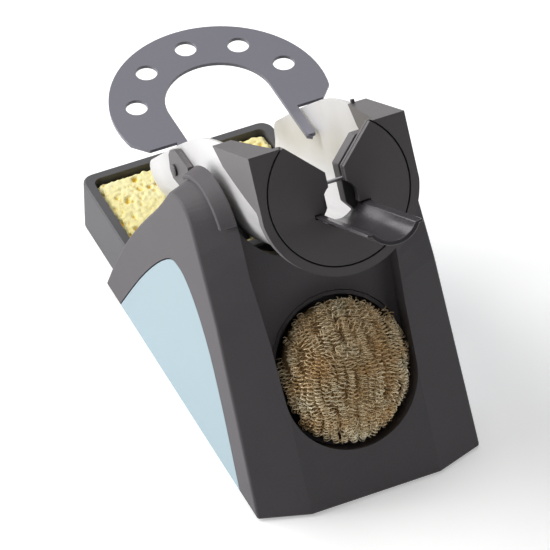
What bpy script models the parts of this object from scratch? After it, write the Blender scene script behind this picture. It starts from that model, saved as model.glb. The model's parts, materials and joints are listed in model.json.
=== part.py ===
"""Safety stand for a soldering iron: tilting iron rest, tip tray, brass wool and sponge tray.

Metres, +Z up. +X is the stand's right, -Y its front. The origin lies on the table
under the middle of the whole stand.
"""
import math

import bmesh
import bpy
from mathutils import Matrix, Vector

MM = 0.001

# ---- driving dimensions -------------------------------------------------------------
GAP = 0.3 * MM                 # air between neighbouring pieces
Y_CENTRE = 3.0 * MM            # middle of the whole stand, seen from the base's own zero

BASE_HALF = 45.0 * MM          # half width of the base on the table
BASE_FLOOR = 0.5 * MM          # the base hangs this far above the table, on its feet
SIDE_DRAFT = 0.02              # the sides lean in by this much for each unit of height
FRONT_Y = -80.8 * MM           # foot of the sloping front
FRONT_SLOPE = 59.0             # degrees above the table
FOLD_HALF = 25.9 * MM          # half width of the flat middle of the front
FOLD_DEPTH = 6.2 * MM          # the chamfered corners fall back by this much
REAR_Y = 62.8 * MM             # rear foot of the side fins
FRONT_FADE = (64.0 * MM, 5.2 * MM)     # above this height the outer edges fall back further
TILT_AXIS = (-5.5 * MM, 79.3 * MM)     # (y, z) of the pivot pins
MIDDLE_ARCH_R = 23.7 * MM      # round top of the pillars at the fold, about the tilt axis
OUTER_ARCH = (-3.6 * MM, 83.9 * MM)    # (y, z) centre of the smaller round top outside
OUTER_ARCH_R = 13.3 * MM
PILLAR_INNER = 28.8 * MM       # half width of the channel between the pillars
SADDLE_R = 29.0 * MM           # the round cradle under the shell, about the shell's axis
FIN_INNER = 40.2 * MM          # half width of the hollow behind the pillars

OPENING_R = 26.2 * MM          # round wool opening in the front
OPENING_UP = 45.0 * MM         # its centre, measured up the sloping front
WELL_RISE = 5.5 * MM           # the wool well is a slot this much taller than it is wide
RECESS_DEPTH = 9.0 * MM
WELL_DEPTH = 22.0 * MM
CUP_WALL = 1.4 * MM

TRAY_HALF = 39.6 * MM
TRAY_FRONT = 36.2 * MM
TRAY_REAR = 99.5 * MM
TRAY_TOP = 22.5 * MM
TRAY_WALL = 3.8 * MM
TRAY_FLOOR = 3.6 * MM
TRAY_CORNER = 5.0 * MM
SPONGE_TOP = 21.2 * MM

PLATE_CENTRE = (-46.1 * MM, 121.3 * MM)  # (y, z) of the middle of the holder's front face
TOOL_TILT = 31.6               # the iron points this many degrees below level
PLATE_HALF = 30.3 * MM
PLATE_TOP = 20.7 * MM
RING_R = 30.6 * MM
PLATE_T = 4.0 * MM
INSERT_R = 26.8 * MM
INSERT_GROOVE = 0.6 * MM       # open ring around the insert
INSERT_T = 2.2 * MM
SLOT_TOP_HALF = 16.8 * MM      # V slot: half width at the top edge of the plate
THROAT_HALF = 3.65 * MM
THROAT_TOP = 7.8 * MM
KEYHOLE_R = 6.9 * MM
KEYHOLE_DOWN = 3.5 * MM
BLOCK_DEPTH = 36.0 * MM
NUB_R = 0.8 * MM               # pip on the rear top corner of the right block only
NUB_SPOT = (24.5 * MM, -34.5 * MM)     # to the right, and behind the plate
NUB_RISE = 1.5 * MM            # it stands this far above the block
GUIDE_FRONT = 5.8 * MM
GUIDE_T = 6.0 * MM
WIRE_R = 0.7 * MM
GUIDE_HALF = 18.0 * MM
GUIDE_TOP = 16.4 * MM

TROUGH_LENGTH = 48.0 * MM
TROUGH_TAIL = 5.2 * MM         # it passes through the holder and ends this far behind
TROUGH_R = 10.85 * MM
TROUGH_WALL = 1.7 * MM
TROUGH_DOWN = 1.75 * MM        # centre of its arc below the plate's centre
TROUGH_ANGLE = 58.0            # degrees from the bottom to each rim
TROUGH_LIP = (10.6 * MM, -6.3 * MM)    # outer top corner of the lip along each rim
LIP_T = 1.1 * MM

SHELL_HALF = 26.0 * MM
SHELL_T = 1.0 * MM
SHELL_DOWN = 1.0 * MM          # centre of its round bottom below the plate's centre
SHELL_START = 5.4 * MM
SHELL_END = 128.5 * MM

RACK_CENTRE_Y = 55.9 * MM
RACK_TOP = 82.5 * MM
RACK_T = 1.4 * MM
RACK_OUTER = 41.3 * MM
RACK_INNER = 20.4 * MM
RACK_FRONT = 40.7 * MM         # front edge of its arms
RACK_HOLES_R = 31.14 * MM
RACK_HOLE = 4.12 * MM
RACK_STEP = 37.05              # degrees between holes
RACK_STOP = (20.9 * MM, 23.4 * MM, 24.0 * MM, 26.2 * MM)   # pad on the tip of each arm
RACK_STOP_RISE = 0.9 * MM

PIN_R = 2.5 * MM
CAP_HALF = (29.0 * MM, 35.2 * MM)
CAP_RISE = 2.0 * MM

FOOT_SPOTS = [(sx * 34.5 * MM, y) for sx in (-1, 1) for y in (-64 * MM, 25 * MM)]
SCREW_SPOTS = [(sx * 34.0 * MM, y) for sx in (-1, 1) for y in (-48 * MM, -19 * MM)]
PLATE_Z = 2.0 * MM             # thickness of the bottom plate


# ---- clean start, collections, materials --------------------------------------------
for old in list(bpy.data.objects):
    bpy.data.objects.remove(old, do_unlink=True)

PARTS = bpy.data.collections.new("soldering_iron_stand")
CUTTERS = bpy.data.collections.new("cutters")
BASE_CUTTERS = bpy.data.collections.new("base_cutters")
for group in (PARTS, CUTTERS):
    bpy.context.scene.collection.children.link(group)
CUTTERS.children.link(BASE_CUTTERS)


def material(name, colour, roughness, metallic=0.0):
    mat = bpy.data.materials.new(name)
    mat.use_nodes = True
    shader = mat.node_tree.nodes["Principled BSDF"]
    shader.inputs["Base Color"].default_value = (*colour, 1.0)
    shader.inputs["Roughness"].default_value = roughness
    shader.inputs["Metallic"].default_value = metallic
    return mat


BODY_PLASTIC = material("body_plastic", (0.055, 0.050, 0.055), 0.62)
HOLDER_PLASTIC = material("holder_plastic", (0.045, 0.042, 0.045), 0.50)
GLOSS_PLASTIC = material("trough_plastic", (0.03, 0.03, 0.035), 0.22)
BLUE_PLASTIC = material("inlay_plastic", (0.53, 0.74, 0.80), 0.55)
TRAY_PLASTIC = material("tray_plastic", (0.030, 0.030, 0.034), 0.60)
STEEL = material("steel_sheet", (0.72, 0.71, 0.70), 0.30, 1.0)
DARK_STEEL = material("painted_rack", (0.22, 0.22, 0.25), 0.45, 0.3)
SCREW_STEEL = material("screw_steel", (0.45, 0.45, 0.46), 0.35, 1.0)
RUBBER = material("rubber", (0.02, 0.02, 0.02), 0.85)
BRASS = material("brass_wire", (0.80, 0.62, 0.25), 0.30, 1.0)
SPONGE_YELLOW = material("sponge", (0.88, 0.76, 0.35), 0.95)

# ---- frames: local axes of the stand's sides, front, holder and plan ----------------
WORLD = Matrix.Translation((0, -Y_CENTRE, 0))


def axes_frame(x_axis, y_axis, origin=(0, 0, 0)):
    """A placement whose local x and y run along the given world directions."""
    x_axis = Vector(x_axis)
    y_axis = Vector(y_axis)
    z_axis = x_axis.cross(y_axis)
    turn = Matrix((x_axis, y_axis, z_axis)).transposed().to_4x4()
    return WORLD @ Matrix.Translation(origin) @ turn


TILT = math.radians(TOOL_TILT)
BACK = Vector((0, math.cos(TILT), -math.sin(TILT)))    # along the iron, to its tip
UP = Vector((0, math.sin(TILT), math.cos(TILT)))       # up the holder's front face
PLATE_ORIGIN = Vector((0, *PLATE_CENTRE))
RIGHT = Vector((1, 0, 0))
SLOPE = math.radians(FRONT_SLOPE)

PLAN = axes_frame((1, 0, 0), (0, 1, 0))                # local (x, y), thickness along Z
SIDE = axes_frame((0, 1, 0), (0, 0, 1))                # local (y, z), thickness along X
FRONT = axes_frame(RIGHT, (0, math.cos(SLOPE), math.sin(SLOPE)), (0, FRONT_Y, 0))
HOLDER = axes_frame(RIGHT, UP, PLATE_ORIGIN)           # local z points at the user
HOLDER_SIDE = axes_frame(BACK, UP, PLATE_ORIGIN)       # local (back, up), along X
HOLDER_TOP = axes_frame(BACK, RIGHT, PLATE_ORIGIN)     # local (back, right), z down


# ---- small geometry helpers ---------------------------------------------------------
def arc(cx, cy, radius, start, end, count):
    """Points on an arc, angles in degrees, both ends included."""
    points = []
    for i in range(count + 1):
        angle = math.radians(start + (end - start) * i / count)
        points.append((cx + radius * math.cos(angle), cy + radius * math.sin(angle)))
    return points


def circle(cx, cy, radius, count):
    return arc(cx, cy, radius, 0, 360, count)[:-1]


def smooth(points, per=4):
    """A Catmull-Rom curve through the points, with `per` steps between neighbours."""
    ends = [points[0]] + list(points) + [points[-1]]
    result = []
    for p0, p1, p2, p3 in zip(ends, ends[1:], ends[2:], ends[3:]):
        for i in range(per):
            t = i / per
            result.append(tuple(
                0.5 * (2 * b + (c - a) * t + (2 * a - 5 * b + 4 * c - d) * t ** 2
                       + (3 * b - a - 3 * c + d) * t ** 3)
                for a, b, c, d in zip(p0, p1, p2, p3)))
    return result + [points[-1]]


def mirrored(half):
    """A half outline at x > 0 and its mirror image, as one closed outline."""
    return list(half) + [(-x, y) for x, y in reversed(half)]


def rounded_box(x0, y0, x1, y1, radius, count=5):
    return (arc(x1 - radius, y1 - radius, radius, 0, 90, count)
            + arc(x0 + radius, y1 - radius, radius, 90, 180, count)
            + arc(x0 + radius, y0 + radius, radius, 180, 270, count)
            + arc(x1 - radius, y0 + radius, radius, 270, 360, count))


def link(obj, mat, group=PARTS):
    group.objects.link(obj)
    if mat:
        obj.data.materials.append(mat)
    if group is not PARTS:
        obj.hide_render = True
        obj.display_type = "WIRE"
    return obj


def weld(mesh):
    bm = bmesh.new()
    bm.from_mesh(mesh)
    bmesh.ops.remove_doubles(bm, verts=bm.verts, dist=0.001 * MM)
    bmesh.ops.dissolve_limit(bm, angle_limit=0.001, verts=bm.verts, edges=bm.edges)
    bmesh.ops.recalc_face_normals(bm, faces=bm.faces)
    bm.to_mesh(mesh)
    bm.free()


def slab(name, loops, low, high, frame, mat=None, group=PARTS):
    """A flat outline (with any holes) between two heights of its frame."""
    data = bpy.data.curves.new(name, "CURVE")
    data.dimensions = "2D"
    data.fill_mode = "BOTH"
    data.extrude = (high - low) / 2
    for loop in loops:
        spline = data.splines.new("POLY")
        spline.points.add(len(loop) - 1)
        for point, (x, y) in zip(spline.points, loop):
            point.co = (x, y, 0, 1)
        spline.use_cyclic_u = True
    curve = bpy.data.objects.new(name + "_curve", data)
    bpy.context.scene.collection.objects.link(curve)
    curve.matrix_world = frame @ Matrix.Translation((0, 0, (high + low) / 2))
    graph = bpy.context.evaluated_depsgraph_get()
    mesh = bpy.data.meshes.new_from_object(curve.evaluated_get(graph))
    weld(mesh)
    obj = bpy.data.objects.new(name, mesh)
    obj.matrix_world = curve.matrix_world
    bpy.data.objects.remove(curve, do_unlink=True)
    bpy.data.curves.remove(data)
    return link(obj, mat, group)


def turned(name, profile, frame, steps, mat=None, group=PARTS):
    """A profile of (radius, height) points, from top to bottom, turned about local z."""
    bm = bmesh.new()
    verts = [bm.verts.new((radius, 0, height)) for radius, height in profile]
    for a, b in zip(verts, verts[1:]):
        bm.edges.new((a, b))
    mesh = bpy.data.meshes.new(name)
    bm.to_mesh(mesh)
    bm.free()
    obj = link(bpy.data.objects.new(name, mesh), mat, group)
    obj.matrix_world = frame
    screw = obj.modifiers.new("turn", "SCREW")
    screw.steps = steps
    screw.render_steps = steps
    screw.use_merge_vertices = True
    screw.merge_threshold = 0.00001
    return obj


def rod(name, radius, low, high, frame, steps, mat=None, group=PARTS):
    return turned(name, [(0, high), (radius, high), (radius, low), (0, low)],
                  frame, steps, mat, group)


def boolean(obj, tool, operation="DIFFERENCE"):
    mod = obj.modifiers.new(operation.lower() + "_" + tool.name, "BOOLEAN")
    mod.operation = operation
    mod.object = tool
    mod.solver = "EXACT"


def bevel(obj, width, segments=2, angle=35):
    mod = obj.modifiers.new("rounded_edges", "BEVEL")
    mod.width = width
    mod.segments = segments
    mod.limit_method = "ANGLE"
    mod.angle_limit = math.radians(angle)
    mod.use_clamp_overlap = True


def along_x(side, y, z):
    """A frame at (y, z) whose local z points outwards along X on the given side."""
    return axes_frame((0, 1, 0), (0, 0, side), (0, y, z))


def side_name(side):
    return "right" if side > 0 else "left"


# ---- base ---------------------------------------------------------------------------
def fall_back(z):
    """How far the base's outer front edges lie behind its middle at this height."""
    start, most = FRONT_FADE
    top = OUTER_ARCH[1] + OUTER_ARCH_R * math.sin(math.radians(143))
    t = max(z - start, 0) / (top - start)
    return FOLD_DEPTH + most * t


def fin_outline(middle):
    """Side view of the base as (y, z): at the middle of its front, or at its outer faces."""
    if middle:
        top = arc(*TILT_AXIS, MIDDLE_ARCH_R, 90 + FRONT_SLOPE, 52, 14)
        rear = [(18.5 * MM, 81.0 * MM), (33.0 * MM, 59.5 * MM), (43.8 * MM, 40.5 * MM),
                (54.8 * MM, 19.0 * MM)]
    else:
        top = arc(*OUTER_ARCH, OUTER_ARCH_R, 143, 40, 14)
        rear = [(15.8 * MM, 78.0 * MM), (31.0 * MM, 57.3 * MM), (42.7 * MM, 39.6 * MM),
                (54.2 * MM, 18.7 * MM)]
    front = []
    for i in range(13):
        z = BASE_FLOOR + (top[0][1] - BASE_FLOOR) * i / 13
        back = 0 if middle else fall_back(z)
        front.append((FRONT_Y + z / math.tan(SLOPE) + back, z))
    return front + top + smooth([top[-1]] + rear + [(REAR_Y, BASE_FLOOR)], 3)[1:]


def pillar_radius(x):
    """Radius of the pillars' round tops about the tilt axis, at a distance from the middle."""
    outer = OUTER_ARCH[1] + OUTER_ARCH_R - TILT_AXIS[1]
    t = (x - FOLD_HALF) / (BASE_HALF - SIDE_DRAFT * TILT_AXIS[1] - FOLD_HALF)
    return MIDDLE_ARCH_R + (outer - MIDDLE_ARCH_R) * t


def base_shell():
    """The base as a loft across its width: outer face, fold, fold, outer face."""
    bm = bmesh.new()
    rows = []
    for side, middle in ((-1, False), (-1, True), (1, True), (1, False)):
        row = []
        for y, z in fin_outline(middle):
            x = FOLD_HALF if middle else BASE_HALF - SIDE_DRAFT * z
            row.append(bm.verts.new((side * x, y, z)))
        rows.append(row)
    count = len(rows[0])
    for left, right in zip(rows, rows[1:]):
        for i in range(count):
            j = (i + 1) % count
            bm.faces.new((left[i], left[j], right[j], right[i]))
    bm.faces.new(rows[0])
    bm.faces.new(rows[-1])
    bmesh.ops.recalc_face_normals(bm, faces=bm.faces)
    mesh = bpy.data.meshes.new("base_body")
    bm.to_mesh(mesh)
    bm.free()
    obj = link(bpy.data.objects.new("base_body", mesh), BODY_PLASTIC)
    obj.matrix_world = WORLD
    return obj


def stadium(radius, rise, count=14):
    """Half circle below, half circle above, joined by short straight sides."""
    return (arc(0, OPENING_UP + rise, radius, 0, 180, count)
            + arc(0, OPENING_UP, radius, 180, 360, count))


def plate_outline(grow):
    """Bottom plate seen in plan, with its front corners cut to follow the base."""
    half = 40.4 * MM + grow
    front = -75.2 * MM - grow
    return mirrored([(FOLD_HALF - 1 * MM, front), (half, front + 5.4 * MM),
                     (half, 32.9 * MM + grow)])


def inlay_outline(grow):
    """Side inlay in side view: (y, z). Grows evenly for its pocket."""
    rear = [(49.2 * MM, 1 * MM), (31.1 * MM, 29.6 * MM), (15.6 * MM, 50.6 * MM),
            (4.0 * MM, 62.6 * MM), (-3.0 * MM, 64.9 * MM), (-10.0 * MM, 63.6 * MM),
            (-20.0 * MM, 57.2 * MM), (-31.2 * MM, 45.6 * MM), (-42.7 * MM, 28.3 * MM),
            (-53.7 * MM, 9.3 * MM), (-58.4 * MM, 1 * MM)]
    path = smooth(rear, 3)
    grown = []
    for i, (y, z) in enumerate(path):
        y0, z0 = path[max(i - 1, 0)]
        y1, z1 = path[min(i + 1, len(path) - 1)]
        length = math.hypot(y1 - y0, z1 - z0)
        grown.append((y + grow * (z1 - z0) / length, z - grow * (y1 - y0) / length))
    if grow:
        grown = [(grown[0][0], -2 * MM)] + grown + [(grown[-1][0], -2 * MM)]
    return grown


def lean(obj, side):
    """Shear a slab that lies along X so that it follows the draft of the base's side."""
    for vert in obj.data.vertices:
        vert.co.z -= side * SIDE_DRAFT * vert.co.y


def follow_cone(obj, low, high):
    """Shrink the outer end of a band on a pillar's top to the smaller radius there."""
    centre = Vector(TILT_AXIS)
    drop = pillar_radius(low) - pillar_radius(high)
    for vert in obj.data.vertices:
        if abs((obj.matrix_world @ vert.co).x) > (low + high) / 2:
            spoke = Vector(vert.co[:2]) - centre
            vert.co.x -= drop * spoke.x / spoke.length
            vert.co.y -= drop * spoke.y / spoke.length


def build_base():
    body = base_shell()
    bevel(body, 0.8 * MM, 2)

    top = 160 * MM
    far_rear = 75 * MM
    channel = [(-13.5 * MM, 58 * MM), (-12 * MM, 4.5 * MM), (far_rear, 4.5 * MM),
               (far_rear, top), (-13.5 * MM, top)]
    saddle = (arc(0, -SHELL_DOWN, SADDLE_R, 180, 360, 40)
              + [(SADDLE_R, 60 * MM), (-SADDLE_R, 60 * MM)])
    bay_front = TRAY_FRONT - 0.6 * MM
    hollow = [(-10 * MM, 4.5 * MM), (bay_front, 4.5 * MM), (bay_front, -2 * MM),
              (far_rear, -2 * MM), (far_rear, top), (25 * MM, top), (22 * MM, 56 * MM),
              (-1 * MM, 56 * MM), (-10 * MM, 47 * MM)]
    edge = [(26.8 * MM, 66 * MM), (27.7 * MM, 79 * MM), (28.5 * MM, 91 * MM),
            (28.5 * MM, 130 * MM)]
    slot = (arc(0, OPENING_UP, OPENING_R, 180, 360, 28) + edge
            + [(-x, y) for x, y in reversed(edge)])
    group = BASE_CUTTERS
    slab("cut_channel", [channel], -PILLAR_INNER, PILLAR_INNER, SIDE, None, group)
    slab("cut_saddle", [saddle], -70 * MM, 60 * MM, HOLDER, None, group)
    slab("cut_hollow", [hollow], -FIN_INNER, FIN_INNER, SIDE, None, group)
    slab("cut_recess", [slot], -RECESS_DEPTH, 20 * MM, FRONT, None, group)
    slab("cut_well", [stadium(OPENING_R + 0.1 * MM, WELL_RISE)], -WELL_DEPTH,
         -RECESS_DEPTH + 1 * MM, FRONT, None, group)
    slab("cut_plate", [plate_outline(GAP)], -1 * MM, BASE_FLOOR + PLATE_Z + GAP, PLAN,
         None, group)
    for i, (x, y) in enumerate(SCREW_SPOTS):
        rod(f"cut_screw_{i}", 1.7 * MM, -1 * MM, 10 * MM,
            PLAN @ Matrix.Translation((x, y, 0)), 16, None, group)
    for side in (-1, 1):
        name = side_name(side)
        low = BASE_HALF - 1.9 * MM
        high = BASE_HALF + 5 * MM
        pocket = slab(f"cut_inlay_{name}", [inlay_outline(0.5 * MM)],
                      min(side * low, side * high), max(side * low, side * high),
                      SIDE, None, group)
        lean(pocket, side)
        rod(f"cut_pin_{name}", PIN_R + GAP, 26 * MM, 38 * MM,
            along_x(side, *TILT_AXIS), 24, None, group)
    cut = body.modifiers.new("cut_outs", "BOOLEAN")
    cut.operation = "DIFFERENCE"
    cut.operand_type = "COLLECTION"
    cut.collection = group
    cut.solver = "EXACT"

    plate = slab("bottom_plate", [plate_outline(0)], BASE_FLOOR, BASE_FLOOR + PLATE_Z,
                 PLAN, BODY_PLASTIC)
    for i, (x, y) in enumerate(FOOT_SPOTS):
        spot = PLAN @ Matrix.Translation((x, y, 0))
        boolean(plate, rod(f"cut_foot_{i}", 5.3 * MM, -1 * MM, 1.7 * MM, spot, 24,
                           None, CUTTERS))
        foot = turned(f"foot_{i + 1}", [(0, 1.4 * MM), (5 * MM, 1.4 * MM),
                                        (5 * MM, 0.4 * MM), (4.6 * MM, 0), (0, 0)],
                      spot, 24, RUBBER)
        foot.data.name = foot.name
    for i, (x, y) in enumerate(SCREW_SPOTS):
        spot = PLAN @ Matrix.Translation((x, y, 0))
        boolean(plate, turned(f"cut_head_{i}", [(0, 3 * MM), (1.7 * MM, 3 * MM),
                                                (1.7 * MM, 1.7 * MM), (3 * MM, 1.7 * MM),
                                                (3 * MM, -1 * MM), (0, -1 * MM)],
                              spot, 24, None, CUTTERS))
        turned(f"base_screw_{i + 1}", [(0, 9.5 * MM), (0.7 * MM, 9.5 * MM),
                                       (1.4 * MM, 8.6 * MM), (1.4 * MM, 1.4 * MM),
                                       (2.7 * MM, 1.4 * MM), (2.7 * MM, 0.9 * MM),
                                       (2.1 * MM, 0.55 * MM), (0, 0.55 * MM)],
               spot, 20, SCREW_STEEL)

    for side in (-1, 1):
        name = side_name(side)
        low = BASE_HALF - 1.6 * MM
        high = BASE_HALF - 0.1 * MM
        inlay = slab(f"side_inlay_{name}", [inlay_outline(0)],
                     min(side * low, side * high), max(side * low, side * high),
                     SIDE, BLUE_PLASTIC)
        lean(inlay, side)
        low, high = CAP_HALF
        base_r = pillar_radius(low)
        band = (arc(*TILT_AXIS, base_r + GAP, 136, 40, 16)
                + arc(*TILT_AXIS, base_r + CAP_RISE, 40, 136, 16))
        cap = slab(f"pivot_cap_{name}", [band], min(side * low, side * high),
                   max(side * low, side * high), SIDE, BODY_PLASTIC)
        follow_cone(cap, low, high)
        bevel(cap, 0.4 * MM, 1)
        rod(f"pivot_pin_{name}", PIN_R, 24.2 * MM, 37.4 * MM, along_x(side, *TILT_AXIS),
            20, SCREW_STEEL)


# ---- brass wool and sponge ----------------------------------------------------------
def build_cleaners():
    outer = OPENING_R - 0.2 * MM
    inner = outer - CUP_WALL
    rim = -RECESS_DEPTH - GAP
    bottom = -WELL_DEPTH + GAP
    cup = slab("wool_cup", [stadium(outer, WELL_RISE)], bottom, rim, FRONT, BODY_PLASTIC)
    boolean(cup, slab("cut_cup", [stadium(inner, WELL_RISE)], bottom + CUP_WALL,
                      rim + 2 * MM, FRONT, None, CUTTERS))
    wool = slab("brass_wool", [stadium(inner - 0.6 * MM, WELL_RISE, 12)],
                bottom + CUP_WALL + GAP, -3 * MM, FRONT, BRASS)
    bevel(wool, 3.5 * MM, 2)

    tray = slab("sponge_tray", [rounded_box(-TRAY_HALF, TRAY_FRONT, TRAY_HALF, TRAY_REAR,
                                            TRAY_CORNER)], 0, TRAY_TOP, PLAN, TRAY_PLASTIC)
    bevel(tray, 0.7 * MM, 1, 60)
    well = rounded_box(-TRAY_HALF + TRAY_WALL, TRAY_FRONT + TRAY_WALL,
                       TRAY_HALF - TRAY_WALL, TRAY_REAR - TRAY_WALL, 3 * MM, 4)
    boolean(tray, slab("cut_tray", [well], TRAY_FLOOR, 40 * MM, PLAN, None, CUTTERS))
    edge = TRAY_WALL + 0.9 * MM
    sponge = slab("sponge", [rounded_box(-TRAY_HALF + edge, TRAY_FRONT + edge,
                                         TRAY_HALF - edge, TRAY_REAR - edge - 1.6 * MM,
                                         3 * MM, 3)],
                  TRAY_FLOOR + GAP, SPONGE_TOP, PLAN, SPONGE_YELLOW)
    bevel(sponge, 0.8 * MM, 1)


# ---- tilting holder -----------------------------------------------------------------
def slot_edge(top, keyhole=True):
    """Right half of the V slot, the throat and the hole that the trough passes through."""
    top_half = THROAT_HALF + (SLOT_TOP_HALF - THROAT_HALF) * (
        (top - THROAT_TOP) / (PLATE_TOP - THROAT_TOP))
    lip_x, lip_y = TROUGH_LIP
    clear = TROUGH_R + GAP
    edge = [(top_half, top), (THROAT_HALF, THROAT_TOP)]
    if keyhole:
        meet = math.degrees(math.acos(THROAT_HALF / KEYHOLE_R))
        shelf = lip_y + GAP
        shelf_angle = math.degrees(math.asin((shelf + KEYHOLE_DOWN) / KEYHOLE_R))
        edge += arc(0, -KEYHOLE_DOWN, KEYHOLE_R, meet, shelf_angle, 10)
        edge += [(lip_x + GAP, shelf), (lip_x + GAP, lip_y - LIP_T - GAP)]
        join = math.degrees(math.asin((lip_y - LIP_T - GAP + TROUGH_DOWN) / clear))
    else:
        edge.append((THROAT_HALF, lip_y))
        join = -52
    return edge + arc(0, -TROUGH_DOWN, clear, join, -90, 10)


def open_outline(rim, slot):
    """The right half of a rim and of a slot, mirrored into one closed outline."""
    return (rim + [(-x, y) for x, y in reversed(rim[:-1])] + [(-x, y) for x, y in slot]
            + list(reversed(slot[:-1])))


def open_disc(radius, top, side_half=None):
    """A disc open at the top through the V slot, cut off flat at `top`."""
    if side_half is None:
        start = math.degrees(math.asin(top / radius))
        return open_outline(arc(0, 0, radius, start, -90, 24), slot_edge(top))
    corner = math.degrees(math.acos(side_half / radius))
    rim = [(side_half, top)] + arc(0, 0, radius, -corner, -90, 14)
    return open_outline(rim, slot_edge(top, False))


def build_holder():
    plate_rim = ([(PLATE_HALF, PLATE_TOP)]
                 + arc(0, 0, RING_R, -math.degrees(math.acos(PLATE_HALF / RING_R)),
                       -90, 26))
    outline = open_outline(plate_rim, slot_edge(PLATE_TOP))
    frame = slab("holder_frame", [outline], -PLATE_T, 0, HOLDER, HOLDER_PLASTIC)

    blocks_top = [[(PLATE_T - 1 * MM, s * 19.2 * MM), (PLATE_T - 1 * MM, s * PLATE_HALF),
                   (BLOCK_DEPTH, s * PLATE_HALF), (BLOCK_DEPTH, s * 23 * MM)]
                  for s in (-1, 1)]
    blocks = slab("block_plan", blocks_top, -PLATE_TOP, 10 * MM, HOLDER_TOP, None, CUTTERS)
    wedge = [(2 * MM, PLATE_TOP), (2 * MM, -6.5 * MM), (4.6 * MM, 0),
             (13.5 * MM, 4.4 * MM), (21.7 * MM, 9 * MM), (29.7 * MM, 13.8 * MM),
             (33 * MM, 17.5 * MM), (BLOCK_DEPTH, PLATE_TOP)]
    profile = slab("block_side", [wedge], -40 * MM, 40 * MM, HOLDER_SIDE, None, CUTTERS)
    boolean(blocks, profile, "INTERSECT")
    boolean(frame, blocks, "UNION")
    boolean(frame, slab("cut_insert", [circle(0, 0, INSERT_R + INSERT_GROOVE, 72)],
                        -INSERT_T - GAP, 5 * MM, HOLDER, None, CUTTERS))
    nub = (HOLDER @ Matrix.Translation((NUB_SPOT[0], 0, NUB_SPOT[1]))
           @ Matrix.Rotation(-math.pi / 2, 4, "X"))
    boolean(frame, rod("block_nub", NUB_R, PLATE_TOP - 0.5 * MM, PLATE_TOP + NUB_RISE, nub, 12,
                       None, CUTTERS), "UNION")

    insert = slab("keyhole_insert", [open_disc(INSERT_R, PLATE_TOP)], -INSERT_T, 0,
                  HOLDER, HOLDER_PLASTIC)
    guide = slab("rear_guide", [open_disc(24.5 * MM, GUIDE_TOP, GUIDE_HALF)],
                 -GUIDE_FRONT - GUIDE_T, -GUIDE_FRONT, HOLDER, HOLDER_PLASTIC)
    wire = rod("gate_wire", WIRE_R, -8 * MM, 8 * MM,
               HOLDER @ Matrix.Translation((0, 2.9 * MM, -4.9 * MM))
               @ Matrix.Rotation(math.pi / 2, 4, "Y"), 12, SCREW_STEEL)

    low = 270 - TROUGH_ANGLE
    high = 270 + TROUGH_ANGLE
    lip_x, lip_y = TROUGH_LIP
    lip = [(lip_x, lip_y - LIP_T), (lip_x, lip_y)]
    section = ([(-x, y) for x, y in reversed(lip)]
               + arc(0, -TROUGH_DOWN, TROUGH_R, low, high, 20) + lip
               + arc(0, -TROUGH_DOWN, TROUGH_R - TROUGH_WALL, high, low, 20))
    trough = slab("rest_trough", [section], -TROUGH_TAIL, TROUGH_LENGTH, HOLDER,
                  GLOSS_PLASTIC)

    shell = build_heat_shell()
    bosses = []
    for side in (-1, 1):
        name = side_name(side)
        boss = turned(f"pivot_boss_{name}",
                      [(PIN_R + GAP, 27.9 * MM), (6.5 * MM, 27.9 * MM),
                       (6.5 * MM, 17.5 * MM), (PIN_R + GAP, 17.5 * MM),
                       (PIN_R + GAP, 27.9 * MM)],
                      along_x(side, *TILT_AXIS), 28, HOLDER_PLASTIC)
        boolean(boss, rod(f"cut_boss_{name}", SHELL_HALF + GAP, -20 * MM, 130 * MM,
                          shell_axis_frame(), 72, None, CUTTERS))
        bosses.append(boss)
    return [frame, guide, wire, shell] + bosses, [insert, trough]


def shell_axis_frame():
    """Local z runs back along the iron, through the centre of the shell's round bottom."""
    return (WORLD @ Matrix.Translation(PLATE_ORIGIN - UP * SHELL_DOWN)
            @ BACK.to_track_quat("Z", "Y").to_matrix().to_4x4())


def build_heat_shell():
    outer = SHELL_HALF
    inner = SHELL_HALF - SHELL_T
    top = 22 * MM
    section = ([(outer, top)] + arc(0, -SHELL_DOWN, outer, 0, -180, 32) + [(-outer, top)]
               + [(-inner, top)] + arc(0, -SHELL_DOWN, inner, -180, 0, 32)
               + [(inner, top)])
    shell = slab("heat_shell", [section], -SHELL_END, -SHELL_START, HOLDER, STEEL)
    slope = [(46 * MM, 20 * MM), (55 * MM, 19.6 * MM), (66 * MM, 18.1 * MM),
             (78 * MM, 15.3 * MM), (92 * MM, 11.6 * MM), (108 * MM, 7.0 * MM)]
    corner = 6.0 * MM
    above = ([(0, 45 * MM), (0, -0.6 * MM), (5.2 * MM, -0.4 * MM), (13.5 * MM, 3.9 * MM),
              (21.8 * MM, 8.5 * MM), (30 * MM, 13.3 * MM), (33.3 * MM, 17 * MM),
              (36.4 * MM, 20 * MM)] + smooth(slope, 3)
             + arc(SHELL_END - corner, 2.4 * MM - corner, corner, 72, 0, 6)
             + [(SHELL_END, -8 * MM), (SHELL_END - 3 * MM, -40 * MM),
                (SHELL_END + 10 * MM, -40 * MM), (SHELL_END + 10 * MM, 45 * MM)])
    boolean(shell, slab("cut_shell_top", [above], -40 * MM, 40 * MM, HOLDER_SIDE, None,
                        CUTTERS))
    for side in (-1, 1):
        boolean(shell, rod(f"cut_rivet_{side_name(side)}", 1.5 * MM, 20 * MM, 32 * MM,
                           clip_frame(side), 16, None, CUTTERS))
    return shell


# ---- tip tray -----------------------------------------------------------------------
CLIP_BACK = 90.5 * MM          # rivet position along and across the shell's wall
CLIP_UP = 3.6 * MM


def clip_frame(side):
    spot = PLATE_ORIGIN + BACK * CLIP_BACK + UP * CLIP_UP
    return axes_frame(BACK, UP * side, spot)


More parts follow.
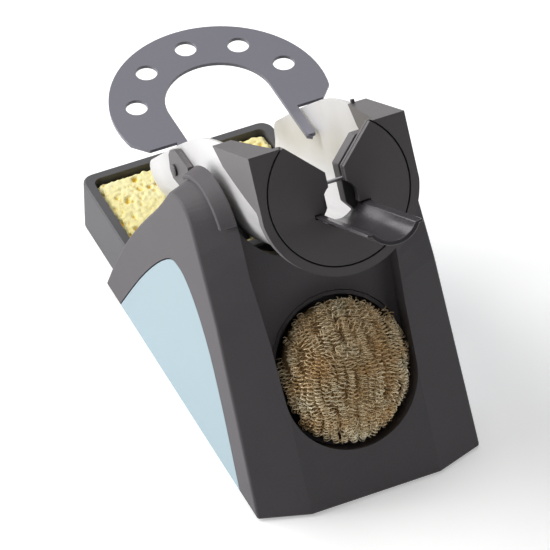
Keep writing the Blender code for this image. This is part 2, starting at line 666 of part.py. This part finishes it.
def build_tip_rack():
    cy = RACK_CENTRE_Y
    outer_start = -math.degrees(math.asin((cy - 46.5 * MM) / RACK_OUTER))
    half = ([(RACK_INNER, 24 * MM), (22.2 * MM, 22.6 * MM), (24.4 * MM, 26 * MM),
             (24.4 * MM, RACK_FRONT), (35.0 * MM, RACK_FRONT)]
            + arc(0, cy, RACK_OUTER, outer_start, 90, 26))
    outer = half + [(-x, y) for x, y in reversed(half[:-1])]
    inner = arc(0, cy, RACK_INNER, 180, 0, 32)
    holes = []
    for i in range(-2, 3):
        angle = math.radians(90 - i * RACK_STEP)
        holes.append(circle(RACK_HOLES_R * math.cos(angle),
                            cy + RACK_HOLES_R * math.sin(angle), RACK_HOLE, 24))
    rack = slab("tip_rack", [outer + inner] + holes, RACK_TOP - RACK_T, RACK_TOP,
                PLAN, DARK_STEEL)
    pieces = []
    for side in (-1, 1):
        name = side_name(side)
        stop = [(side * x, y) for x, y in rounded_box(*RACK_STOP, 0.6 * MM, 2)]
        boolean(rack, slab(f"rack_stop_{name}", [stop], RACK_TOP - RACK_T / 2,
                           RACK_TOP + RACK_STOP_RISE, PLAN, None, CUTTERS), "UNION")
        low = SHELL_HALF + GAP
        high = SHELL_HALF + 2.6 * MM
        shape = [((x - CLIP_BACK / MM) * MM, side * (y - CLIP_UP / MM) * MM)
                 for x, y in ((94.1, 9.1), (91.5, 11.0), (85.5, 11.8), (75.6, 6.4),
                              (76.2, 2.4), (79.5, -1.0), (88.6, -2.9), (95.0, -0.2),
                              (96.3, 3.1))]
        clip = slab(f"rack_clip_{name}", [shape, circle(0, 0, 1.5 * MM, 16)], low, high,
                    clip_frame(side), HOLDER_PLASTIC)
        rivet = turned(f"clip_rivet_{name}",
                       [(0, high + 1.3 * MM), (1.6 * MM, high + 1.2 * MM),
                        (2.3 * MM, high + 0.8 * MM), (2.3 * MM, high + GAP),
                        (1.2 * MM, high + GAP), (1.2 * MM, 24.9 * MM), (0, 24.9 * MM)],
                       clip_frame(side), 20, HOLDER_PLASTIC)
        pieces += [clip, rivet]
    return rack, pieces


# ---- assembly -----------------------------------------------------------------------
def pivot(name, place, children):
    """An empty on a joint's axis, which carries the pieces that move with it."""
    empty = bpy.data.objects.new(name, None)
    empty.empty_display_size = 0.01
    PARTS.objects.link(empty)
    empty.matrix_world = WORLD @ Matrix.Translation(place)
    for child in children:
        world = child.matrix_world.copy()
        child.parent = empty
        child.matrix_parent_inverse = empty.matrix_world.inverted()
        child.matrix_world = world
    return empty


build_base()
build_cleaners()
fixed, loose = build_holder()
tip_rack, clips = build_tip_rack()
insert_slide = pivot("insert_slide", PLATE_ORIGIN, loose)
rack_slide = pivot("rack_slide", (0, RACK_CENTRE_Y, RACK_TOP), [tip_rack])
pivot("tilt_axis", (0, *TILT_AXIS), fixed + clips + [insert_slide, rack_slide])
pivot("tray_slide", (0, TRAY_REAR, 0), [bpy.data.objects["sponge_tray"],
                                        bpy.data.objects["sponge"]])

for part in PARTS.objects:
    if part.type == "MESH":
        part.data.shade_smooth()
        part.data.set_sharp_from_angle(angle=math.radians(35))
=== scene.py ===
"""Looks of the soldering iron stand: materials, brass wool, sponge, light and camera."""

import json
import math
import random

import bmesh
import bpy
import numpy as np
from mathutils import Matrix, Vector, noise


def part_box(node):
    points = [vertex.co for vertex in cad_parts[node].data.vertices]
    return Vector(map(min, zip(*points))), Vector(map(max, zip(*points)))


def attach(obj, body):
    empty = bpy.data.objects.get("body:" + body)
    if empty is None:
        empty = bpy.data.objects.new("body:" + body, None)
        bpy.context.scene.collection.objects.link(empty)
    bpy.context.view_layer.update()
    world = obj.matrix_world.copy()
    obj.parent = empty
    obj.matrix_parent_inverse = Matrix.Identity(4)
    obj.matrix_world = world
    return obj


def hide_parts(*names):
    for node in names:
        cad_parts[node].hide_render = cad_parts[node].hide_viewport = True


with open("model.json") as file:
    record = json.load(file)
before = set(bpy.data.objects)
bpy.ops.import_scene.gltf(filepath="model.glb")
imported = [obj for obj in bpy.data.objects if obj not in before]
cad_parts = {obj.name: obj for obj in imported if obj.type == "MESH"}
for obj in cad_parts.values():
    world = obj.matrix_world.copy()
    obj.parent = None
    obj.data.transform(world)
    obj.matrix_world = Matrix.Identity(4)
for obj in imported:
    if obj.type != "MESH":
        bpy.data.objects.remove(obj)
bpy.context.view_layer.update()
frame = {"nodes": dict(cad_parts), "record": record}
MM = 0.001
RECORD = frame["record"]
COLOURS = {m["slot"]: m["base_color"] for m in RECORD["materials"]}
SLOT_OF = {s["node"]: s["material_slot"] for s in RECORD["subparts"]}
BODY_OF = {n: b for b, nodes in RECORD["behaviour"]["bodies"].items() for n in nodes}

# ---- camera -------------------------------------------------------------------------
CAMERA_TARGET = Vector((-3.54, -3.0, 42.19)) * MM
CAMERA_DISTANCE = 1905.65 * MM
CAMERA_AZIMUTH = 24.90         # degrees from the front towards the stand's left
CAMERA_ELEVATION = 43.46
CAMERA_LENS = 338.98


def make_camera():
    """The photo's own viewpoint, from a long way off."""
    azimuth = math.radians(CAMERA_AZIMUTH)
    elevation = math.radians(CAMERA_ELEVATION)
    back = Vector((-math.sin(azimuth) * math.cos(elevation),
                   -math.cos(azimuth) * math.cos(elevation), math.sin(elevation)))
    data = bpy.data.cameras.new("camera")
    data.lens = CAMERA_LENS
    data.sensor_width = 36.0
    data.clip_start = 0.1
    data.clip_end = 20.0
    camera = bpy.data.objects.new("camera", data)
    bpy.context.scene.collection.objects.link(camera)
    camera.location = CAMERA_TARGET + back * CAMERA_DISTANCE
    camera.rotation_euler = (-back).to_track_quat("-Z", "Y").to_euler()
    bpy.context.scene.camera = camera


# ---- studio -------------------------------------------------------------------------
LIGHT_LEVEL = 0.45             # scales every lamp together
WORLD_LEVEL = 0.12             # light from all round
FLOOR_HALF = 2.5               # half its side, in metres
FLOOR_STEPS = 24
FLOOR_GLOW = 0.34              # even glow of the paper, which keeps it near white
FLOOR_DROP = 0.2 * MM          # the floor lies this far below the feet


def area_light(name, place, aim, size, power):
    """A soft panel of light at a place, turned to its aim, both in metres."""
    data = bpy.data.lights.new(name, "AREA")
    data.shape = "RECTANGLE"
    data.size, data.size_y = size
    data.energy = power * LIGHT_LEVEL
    light = bpy.data.objects.new(name, data)
    bpy.context.scene.collection.objects.link(light)
    light.location = place
    light.rotation_euler = (Vector(aim) - Vector(place)).to_track_quat("-Z", "Y").to_euler()


def make_studio():
    """Four soft panels, a little light from all round and a plain pale floor."""
    bpy.context.scene.view_settings.view_transform = "Standard"
    world = bpy.data.worlds.new("studio")
    bpy.context.scene.world = world
    world.use_nodes = True
    background = world.node_tree.nodes["Background"]
    background.inputs["Color"].default_value = grey(1.0)
    background.inputs["Strength"].default_value = WORLD_LEVEL
    area_light("key_back_left", (-0.8, 0.95, 1.05), (0, 0, 0.05), (0.9, 0.9), 42)
    area_light("left_panel", (-1.35, 0.5, 0.45), (0, 0, 0.08), (0.9, 0.8), 30)
    area_light("top_back", (0.25, 0.7, 1.3), (0, 0, 0.05), (0.8, 0.8), 13)
    area_light("front_right", (0.75, -0.95, 0.75), (0, -0.04, 0.05), (0.5, 0.5), 3.4)

    bm = bmesh.new()
    bmesh.ops.create_grid(bm, x_segments=FLOOR_STEPS, y_segments=FLOOR_STEPS, size=FLOOR_HALF)
    mesh = bpy.data.meshes.new("floor")
    bm.to_mesh(mesh)
    bm.free()
    floor = bpy.data.objects.new("floor", mesh)
    bpy.context.scene.collection.objects.link(floor)
    floor.location.z = -FLOOR_DROP
    mat, tree, shader = new_material("floor_paper")
    fibres = noise_node(tree, scale=30, detail=4.0)
    tint = ramp(tree, fibres.outputs["Fac"], grey(0.93), grey(0.96))
    tree.links.new(tint.outputs["Color"], shader.inputs["Base Color"])
    shader.inputs["Roughness"].default_value = 0.9
    shader.inputs["Specular IOR Level"].default_value = 0.1
    shader.inputs["Emission Color"].default_value = grey(1.0)
    shader.inputs["Emission Strength"].default_value = FLOOR_GLOW
    floor.data.materials.append(mat)


# ---- materials ----------------------------------------------------------------------
RAMP_SPAN = (0.3, 0.7)         # the part of a noise's values that a ramp spreads out


def new_material(name):
    """A fresh material with its node tree and its shader."""
    mat = bpy.data.materials.new(name)
    mat.use_nodes = True
    return mat, mat.node_tree, mat.node_tree.nodes["Principled BSDF"]


def node(tree, kind, **values):
    """A new shader node, with its sockets or settings given by name."""
    made = tree.nodes.new(kind)
    for key, value in values.items():
        if key in made.inputs:
            made.inputs[key].default_value = value
        else:
            setattr(made, key, value)
    return made


def noise_node(tree, scale, detail, stretch=None):
    """Noise in the piece's own space, at so many blots to the metre."""
    coords = node(tree, "ShaderNodeTexCoord")
    tex = node(tree, "ShaderNodeTexNoise")
    tex.inputs["Scale"].default_value = scale
    tex.inputs["Detail"].default_value = detail
    if stretch:
        mapping = node(tree, "ShaderNodeMapping")
        mapping.inputs["Scale"].default_value = stretch
        tree.links.new(coords.outputs["Object"], mapping.inputs["Vector"])
        tree.links.new(mapping.outputs["Vector"], tex.inputs["Vector"])
    else:
        tree.links.new(coords.outputs["Object"], tex.inputs["Vector"])
    return tex


def ramp(tree, source, low, high):
    """Turn a noise into colours or values between low and high."""
    made = node(tree, "ShaderNodeValToRGB")
    made.color_ramp.elements[0].position = RAMP_SPAN[0]
    made.color_ramp.elements[1].position = RAMP_SPAN[1]
    made.color_ramp.elements[0].color = low
    made.color_ramp.elements[1].color = high
    tree.links.new(source, made.inputs["Fac"])
    return made


def grey(value):
    return (value, value, value, 1)


def grained(name, colour, rough, grain, depth, spread):
    """Plastic, paint or rubber with a fine grain and slight changes of colour and gloss."""
    mat, tree, shader = new_material(name)
    fine = noise_node(tree, scale=grain, detail=2.0)
    broad = noise_node(tree, scale=35, detail=3.0)
    dark = tuple(c * (1 - spread) for c in colour) + (1,)
    light = tuple(min(c * (1 + spread), 1) for c in colour) + (1,)
    mixed = node(tree, "ShaderNodeMix", data_type="RGBA")
    mixed.inputs["Factor"].default_value = 0.5
    tree.links.new(ramp(tree, broad.outputs["Fac"], dark, light).outputs["Color"],
                   mixed.inputs["A"])
    tree.links.new(ramp(tree, fine.outputs["Fac"], dark, light).outputs["Color"],
                   mixed.inputs["B"])
    tree.links.new(mixed.outputs["Result"], shader.inputs["Base Color"])
    gloss = ramp(tree, broad.outputs["Fac"], grey(rough - 0.05), grey(rough + 0.05))
    tree.links.new(gloss.outputs["Color"], shader.inputs["Roughness"])
    bump = node(tree, "ShaderNodeBump", Strength=0.6, Distance=depth)
    tree.links.new(fine.outputs["Fac"], bump.inputs["Height"])
    tree.links.new(bump.outputs["Normal"], shader.inputs["Normal"])
    return mat


def brass_material(name, low, high):
    """Curled brass between a darker and a lighter tone, partly metallic."""
    mat, tree, shader = new_material(name)
    broad = noise_node(tree, scale=90, detail=3.0)
    fine = noise_node(tree, scale=900, detail=2.0)
    tone = ramp(tree, broad.outputs["Fac"], low, high)
    tree.links.new(tone.outputs["Color"], shader.inputs["Base Color"])
    shader.inputs["Metallic"].default_value = 0.25
    gloss = ramp(tree, fine.outputs["Fac"], grey(0.15), grey(0.32))
    tree.links.new(gloss.outputs["Color"], shader.inputs["Roughness"])
    return mat


def sponge_material():
    """Pale cellulose foam, with painted shade: a deeper yellow in its pores, which the mesh
    marks as `pore`.
    """
    mat, tree, shader = new_material("sponge_foam")
    pore = node(tree, "ShaderNodeAttribute", attribute_name="pore")
    fine = noise_node(tree, scale=700, detail=3.0)
    broad = noise_node(tree, scale=60, detail=2.0)
    pale = ramp(tree, broad.outputs["Fac"], (0.95, 0.84, 0.38, 1), (0.98, 0.92, 0.54, 1))
    mixed = node(tree, "ShaderNodeMix", data_type="RGBA")
    tree.links.new(pore.outputs["Fac"], mixed.inputs["Factor"])
    tree.links.new(pale.outputs["Color"], mixed.inputs["A"])
    # painted shade: the pores turn a deeper orange-yellow, the more so the deeper they are
    mixed.inputs["B"].default_value = (0.86, 0.58, 0.08, 1)
    tree.links.new(mixed.outputs["Result"], shader.inputs["Base Color"])
    shader.inputs["Roughness"].default_value = 0.95
    shader.inputs["Specular IOR Level"].default_value = 0.2
    bump = node(tree, "ShaderNodeBump", Strength=0.7, Distance=0.0003)
    tree.links.new(fine.outputs["Fac"], bump.inputs["Height"])
    tree.links.new(bump.outputs["Normal"], shader.inputs["Normal"])
    return mat


def brushed(name, colour):
    """Brushed steel: soft streaks and a broad, dull gloss."""
    mat, tree, shader = new_material(name)
    streaks = noise_node(tree, scale=900, detail=3.0, stretch=(1.0, 0.05, 0.05))
    dark = tuple(c * 0.9 for c in colour) + (1,)
    tone = ramp(tree, streaks.outputs["Fac"], dark, tuple(colour) + (1,))
    tree.links.new(tone.outputs["Color"], shader.inputs["Base Color"])
    shader.inputs["Metallic"].default_value = 0.55
    gloss = ramp(tree, streaks.outputs["Fac"], grey(0.42), grey(0.55))
    tree.links.new(gloss.outputs["Color"], shader.inputs["Roughness"])
    return mat


# Each grained slot: material name, roughness, grain scale, grain depth (m), colour spread.
GRAINED = {
    "body_plastic": ("body_plastic_grain", 0.62, 2600, 0.00006, 0.16),
    "holder_plastic": ("holder_plastic_satin", 0.5, 3200, 0.00003, 0.16),
    "trough_plastic": ("trough_gloss", 0.2, 500, 0.00001, 0.16),
    "inlay_plastic": ("inlay_blue", 0.55, 2600, 0.00004, 0.03),
    "tray_plastic": ("tray_grain", 0.6, 2600, 0.00006, 0.16),
    "painted_rack": ("rack_paint", 0.42, 1800, 0.00003, 0.04),
    "rubber": ("rubber_feet", 0.85, 1500, 0.00005, 0.16),
}


def make_materials():
    """One material for each slot, and one more, a darker brass that is painted shade for the
    deeper wool.
    """
    mats = {}
    for slot, (name, rough, grain, depth, spread) in GRAINED.items():
        mats[slot] = grained(name, COLOURS[slot], rough, grain, depth, spread)
    for slot in ("steel_sheet", "screw_steel"):
        mats[slot] = brushed(slot + "_brushed", COLOURS[slot])
    mats["brass_wire"] = brass_material("brass_strands", (0.86, 0.60, 0.30, 1),
                                        (1.0, 0.93, 0.70, 1))
    # darker copy of the brass for the wool's core: painted shade in the gaps between the strands
    mats["brass_painted_shade"] = brass_material("brass_painted_shade", (0.40, 0.26, 0.11, 1),
                                        (0.60, 0.42, 0.20, 1))
    mats["sponge"] = sponge_material()
    return mats


# ---- finer copies of the rigid pieces --------------------------------------------------
WELD = 0.003 * MM
FLAT_ANGLE = 0.5               # degrees: faces that meet at less than this become one
ROUND_STEPS = 3
EDGE_WIDTH = {"holder_frame": 0.4, "keyhole_insert": 0.3, "rear_guide": 0.4,
              "rest_trough": 0.4, "tip_rack": 0.25}      # rounding in mm, none elsewhere
USUAL_SHARP = 32               # degrees: an edge that turns more than this stays sharp
SHARP_ANGLE = {"base_body": 12}


def fine_copy(name):
    """The node's own shape, welded and smoothly shaded, with rounded edges on some."""
    width = EDGE_WIDTH.get(name, 0.0) * MM
    angle = SHARP_ANGLE.get(name, USUAL_SHARP)
    source = frame["nodes"][name]
    bm = bmesh.new()
    bm.from_mesh(source.data)
    bmesh.ops.remove_doubles(bm, verts=bm.verts, dist=WELD)
    bmesh.ops.dissolve_limit(bm, angle_limit=math.radians(FLAT_ANGLE), verts=bm.verts,
                             edges=bm.edges)
    mesh = bpy.data.meshes.new(name + "_fine")
    bm.to_mesh(mesh)
    bm.free()
    piece = bpy.data.objects.new(name + "_fine", mesh)
    bpy.context.scene.collection.objects.link(piece)
    mesh.shade_smooth()
    mesh.set_sharp_from_angle(angle=math.radians(angle))
    if width:
        round_edges = piece.modifiers.new("rounded", "BEVEL")
        round_edges.width = width
        round_edges.segments = ROUND_STEPS
        round_edges.limit_method = "ANGLE"
        round_edges.angle_limit = math.radians(angle)
        round_edges.harden_normals = True
        round_edges.use_clamp_overlap = True
    weighted = piece.modifiers.new("weighted", "WEIGHTED_NORMAL")
    weighted.keep_sharp = True
    piece.cycles.shadow_terminator_offset = 0.5
    piece.cycles.shadow_terminator_geometry_offset = 0.5
    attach(piece, BODY_OF[name])
    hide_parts(name)
    mesh.materials.append(MATERIALS[SLOT_OF[name]])


def finish_soft(mesh, name, material):
    """Put a soft piece's mesh in the place of its plain CAD solid."""
    piece = bpy.data.objects.new(mesh.name, mesh)
    bpy.context.scene.collection.objects.link(piece)
    mesh.shade_smooth()
    mesh.materials.append(MATERIALS[material])
    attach(piece, BODY_OF[name])
    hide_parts(name)
    return piece


# ---- brass wool ---------------------------------------------------------------------
FRONT_SLOPE = math.radians(59.0)
SLOPE_UP = Vector((0, math.cos(FRONT_SLOPE), math.sin(FRONT_SLOPE)))
SLOPE_OUT = Vector((0, -math.sin(FRONT_SLOPE), math.cos(FRONT_SLOPE)))
WOOL_WIDE = 24.9 * MM          # half width of the ball of wool
WOOL_HIGH = 27.6 * MM          # half height, up the slope
WOOL_BULGE = 11.5 * MM         # how far its middle stands out of its rim
WOOL_DOME = 2.6                # 2 is an ellipse, and more is flatter in the middle
WOOL_TAPER = 0.4               # how much narrower it gets for each unit of depth
WOOL_OUT = 5.0                 # mm from the middle of the CAD solid's box out to the rim
CORE_SINK = 5.6 * MM           # how far the core lies below the face of the dome
CORE_THICK = 5.0               # mm
CORE_ROUGH = 0.5               # mm
CORE_REACH = 0.97              # of the way to the rim
CORE_STEPS = 40
CORE_RINGS = 12
WOOL_SEED = 11
WOOL_LAYERS = ((0.4, 19), (2.0, 18), (3.8, 15))          # depth in mm, number of strands
STRAND_POINTS = 15
STRAND_REACH = 0.98            # of the way to the rim
STRAND_JITTER = 0.03
STRAND_PINCH = 0.10            # how much the strands close in towards their ends
STRAND_WAVE = 0.05
STRAND_WANDER = 0.10
DEPTH_WANDER = 0.9             # mm
STRAND_COIL = (1.05, 1.45)     # mm, the range of a curl's radius
STRAND_PITCH = (1.25, 1.75)    # mm, the range of a curl's length in one turn
CROSSING_STRANDS = 34
CROSSING_POINTS = 9
CROSSING_SINK = 0.2 * MM
CROSSING_SWEEP = (0.7, 1.6)    # radians
CROSSING_RADIUS = (0.2, 0.95)  # of the way to the rim
CROSSING_COIL = (0.5, 1.2)     # mm
CROSSING_PITCH = (1.6, 3.0)    # mm
WHOLE_TURN = 6.28              # radians, near enough
STRAND_WIDTH = 0.42 * MM
STRAND_THICK = 0.12 * MM
CURL_STEPS = 8                 # points in one turn of a curl
CURL_FLAT = 0.8                # depth of a curl against its width


def wool_centre():
    """The middle of the ball's rim."""
    low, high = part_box("brass_wool")
    return (low + high) / 2 + SLOPE_OUT * WOOL_OUT * MM


def wool_point(u, v, sink, centre):
    """A place on the domed ball, or under it: u across and v up the slope, each -1 to 1."""
    edge = min(math.hypot(u, v), 1.0)
    rise = WOOL_BULGE * math.sqrt(1 - edge ** WOOL_DOME) - sink
    return (centre + Vector((1, 0, 0)) * (u * (WOOL_WIDE - WOOL_TAPER * sink))
            + SLOPE_UP * (v * (WOOL_HIGH - WOOL_TAPER * sink)) + SLOPE_OUT * rise)


def add_ribbon(bm, points, width, thick):
    """A thin flat wire along the points, closed at both ends."""
    rings = []
    side = Vector((1, 0, 0))
    for i, point in enumerate(points):
        ahead = points[min(i + 1, len(points) - 1)] - points[max(i - 1, 0)]
        ahead.normalize()
        flat = (side - ahead * side.dot(ahead)).normalized()
        side = flat
        lift = ahead.cross(flat)
        ring = [bm.verts.new(point + flat * a * width / 2 + lift * b * thick / 2)
                for a, b in ((-1, -1), (1, -1), (1, 1), (-1, 1))]
        rings.append(ring)
    for one, two in zip(rings, rings[1:]):
        for k in range(4):
            bm.faces.new((one[k], one[(k + 1) % 4], two[(k + 1) % 4], two[k]))
    bm.faces.new(reversed(rings[0]))
    bm.faces.new(rings[-1])


def curled(path, coil, pitch, rng):
    """Points of a springy curl wound loosely about a path."""
    points = []
    travelled = rng.random() * pitch
    for start, end in zip(path, path[1:]):
        length = (end - start).length
        steps = max(2, round(length / pitch * CURL_STEPS))
        along = (end - start).normalized()
        across = along.cross(SLOPE_OUT).normalized()
        out = across.cross(along)
        for i in range(steps):
            t = i / steps
            turn = 2 * math.pi * (travelled + length * t) / pitch
            points.append(start.lerp(end, t) + across * coil * math.cos(turn)
                          + out * coil * CURL_FLAT * math.sin(turn))
        travelled += length
    return points


def make_brass_wool():
    """Layers of curled strands up the slope, then loose ones that arc over them."""
    rng = random.Random(WOOL_SEED)
    centre = wool_centre()
    bm = bmesh.new()
    for layer, (sink, count) in enumerate(WOOL_LAYERS):
        for i in range(count):
            u0 = -1 + 2 * (i + 0.5) / count + rng.uniform(-STRAND_JITTER, STRAND_JITTER)
            reach = math.sqrt(max(1 - u0 * u0, 0.02)) * STRAND_REACH
            wave = rng.uniform(0, WHOLE_TURN)
            path = []
            for k in range(STRAND_POINTS):
                v = (-1 + 2 * k / (STRAND_POINTS - 1)) * reach
                u = (u0 * (1 - STRAND_PINCH * v * v)
                     + STRAND_WAVE * math.sin(wave + 4.5 * v + layer)
                     + STRAND_WANDER * noise.noise(Vector((u0 * 3, v * 3.5, 5 + layer))))
                depth = sink + DEPTH_WANDER * noise.noise(Vector((u * 4, v * 4, 2 * layer)))
                path.append(wool_point(u, v, depth * MM, centre))
            coil = rng.uniform(*STRAND_COIL) * MM
            pitch = rng.uniform(*STRAND_PITCH) * MM
            add_ribbon(bm, curled(path, coil, pitch, rng), STRAND_WIDTH, STRAND_THICK)
    for i in range(CROSSING_STRANDS):
        angle = rng.uniform(0, WHOLE_TURN)
        sweep = rng.uniform(*CROSSING_SWEEP)
        radius = rng.uniform(*CROSSING_RADIUS)
        path = []
        for k in range(CROSSING_POINTS):
            turn = angle + sweep * k / (CROSSING_POINTS - 1)
            path.append(wool_point(radius * math.cos(turn), radius * math.sin(turn),
                                   CROSSING_SINK, centre))
        coil = rng.uniform(*CROSSING_COIL) * MM
        pitch = rng.uniform(*CROSSING_PITCH) * MM
        add_ribbon(bm, curled(path, coil, pitch, rng), STRAND_WIDTH, STRAND_THICK)
    mesh = bpy.data.meshes.new("brass_wool_strands")
    bm.to_mesh(mesh)
    bm.free()
    finish_soft(mesh, "brass_wool", "brass_wire")


def make_wool_core():
    """The inside of the ball, which shows in the gaps between the outer strands, in darker brass
    as painted shade.
    """
    centre = wool_centre()
    bm = bmesh.new()
    turns = [2 * math.pi * k / CORE_STEPS for k in range(CORE_STEPS)]
    rings = []
    for r in range(1, CORE_RINGS + 1):
        reach = r / CORE_RINGS * CORE_REACH
        rings.append([bm.verts.new(
            wool_point(reach * math.cos(a), reach * math.sin(a), CORE_SINK, centre)
            + SLOPE_OUT * CORE_ROUGH * MM * noise.noise(Vector((a * 3, r, 0)))) for a in turns])
    rings.append([bm.verts.new(v.co - SLOPE_OUT * CORE_THICK * MM) for v in rings[-1]])
    top = bm.verts.new(wool_point(0, 0, CORE_SINK, centre))
    for k in range(CORE_STEPS):
        j = (k + 1) % CORE_STEPS
        bm.faces.new((top, rings[0][k], rings[0][j]))
        for one, two in zip(rings, rings[1:]):
            bm.faces.new((one[k], two[k], two[j], one[j]))
    bm.faces.new(reversed(rings[-1]))
    bmesh.ops.recalc_face_normals(bm, faces=bm.faces)
    mesh = bpy.data.meshes.new("brass_wool_core")
    bm.to_mesh(mesh)
    bm.free()
    # the core takes the darker brass, which is painted shade
    finish_soft(mesh, "brass_wool", "brass_painted_shade")


# ---- sponge ---------------------------------------------------------------------------
SPONGE_SEED = 5
SPONGE_OUT_LOW = Vector((0.4, 0.4, 0)) * MM    # room round the CAD solid for the surface
SPONGE_OUT_HIGH = Vector((0.4, 1.4, 0.3)) * MM
SPONGE_SHRINK = Vector((0.8, 0.8, 0.2)) * MM   # the plain block is smaller by this much
SPONGE_CLIP_LOW = np.array([0, 0, 0.05 * MM])  # nothing lies past the room and this
SPONGE_CLIP_HIGH = np.array([0, 0.3 * MM, 0.6 * MM])
SPONGE_BEVEL = 1.2 * MM
SPONGE_VOXEL = 0.6 * MM
PORE_COUNT = 1500
PORE_SMALLEST = 0.45           # radius in mm
PORE_GROWTH = 0.8              # the largest pore's radius is this much more, in mm
PORE_DEPTH = 1.2               # depth against radius
PORE_DEEP = 0.9 * MM           # a pore this deep has the full painted shade, a deeper yellow
ROUGH_SCALE = 650              # blots to the metre
ROUGH_HEIGHT = 0.28 * MM
TEAR_SCALE = 420               # blots to the metre
TEAR_HEIGHT = 1.3 * MM         # on the sides


def make_sponge():
    """A cellulose sponge: a torn-looking block with open pores of many sizes."""
    low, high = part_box("sponge")
    low = low - SPONGE_OUT_LOW
    high = high + SPONGE_OUT_HIGH
    bm = bmesh.new()
    bmesh.ops.create_cube(bm, size=1)
    size = high - low
    bmesh.ops.scale(bm, vec=size - SPONGE_SHRINK, verts=bm.verts)
    bmesh.ops.translate(bm, vec=(low + high) / 2, verts=bm.verts)
    bmesh.ops.bevel(bm, geom=bm.edges[:], offset=SPONGE_BEVEL, segments=2, affect="EDGES")
    block = bpy.data.meshes.new("sponge_block")
    bm.to_mesh(block)
    bm.free()
    coarse = bpy.data.objects.new("sponge_block", block)
    bpy.context.scene.collection.objects.link(coarse)
    voxel = coarse.modifiers.new("voxel", "REMESH")
    voxel.mode = "VOXEL"
    voxel.voxel_size = SPONGE_VOXEL
    graph = bpy.context.evaluated_depsgraph_get()
    mesh = bpy.data.meshes.new_from_object(coarse.evaluated_get(graph))
    bpy.data.objects.remove(coarse, do_unlink=True)
    bpy.data.meshes.remove(block)
    mesh.name = "sponge_foam"

    count = len(mesh.vertices)
    place = np.zeros(count * 3)
    normal = np.zeros(count * 3)
    mesh.vertices.foreach_get("co", place)
    mesh.vertices.foreach_get("normal", normal)
    place = place.reshape(-1, 3)
    normal = normal.reshape(-1, 3)
    rng = np.random.default_rng(SPONGE_SEED)
    depth = np.zeros(count)
    for i in range(PORE_COUNT):
        spot = place[rng.integers(count)]
        radius = (PORE_SMALLEST + PORE_GROWTH * rng.random() ** 3) * MM
        stretch = np.array([1, 0.6 + 0.8 * rng.random(), 1])
        away = np.linalg.norm((place - spot) * stretch, axis=1) / radius
        hollow = np.clip(1 - away ** 2, 0, 1) * radius * PORE_DEPTH
        depth = np.maximum(depth, hollow)
    rough = np.array([noise.noise(Vector(p) * ROUGH_SCALE)
                      + 0.6 * noise.noise(Vector(p) * 2 * ROUGH_SCALE) for p in place])
    torn = np.array([max(noise.noise(Vector((p[0], p[1], 0)) * TEAR_SCALE), 0) for p in place])
    side = np.linalg.norm(normal[:, :2], axis=1)
    moved = place + normal * (-depth + rough * ROUGH_HEIGHT + side * torn * TEAR_HEIGHT)[:, None]
    moved = np.clip(moved, np.array(low) + SPONGE_CLIP_LOW, np.array(high) + SPONGE_CLIP_HIGH)
    mesh.vertices.foreach_set("co", moved.ravel())
    # how much painted shade each point gets, from the depth of its pore
    pore = mesh.attributes.new("pore", "FLOAT", "POINT")
    pore.data.foreach_set("value", np.clip(depth / PORE_DEEP, 0, 1).astype(np.float32))
    mesh.materials.clear()
    piece = finish_soft(mesh, "sponge", "sponge")


# ---- assembly -------------------------------------------------------------------------
SOFT_NODES = ("brass_wool", "sponge")
MATERIALS = make_materials()
make_camera()
make_studio()
for name in frame["nodes"]:
    if name not in SOFT_NODES:
        fine_copy(name)
make_brass_wool()
make_wool_core()
make_sponge()
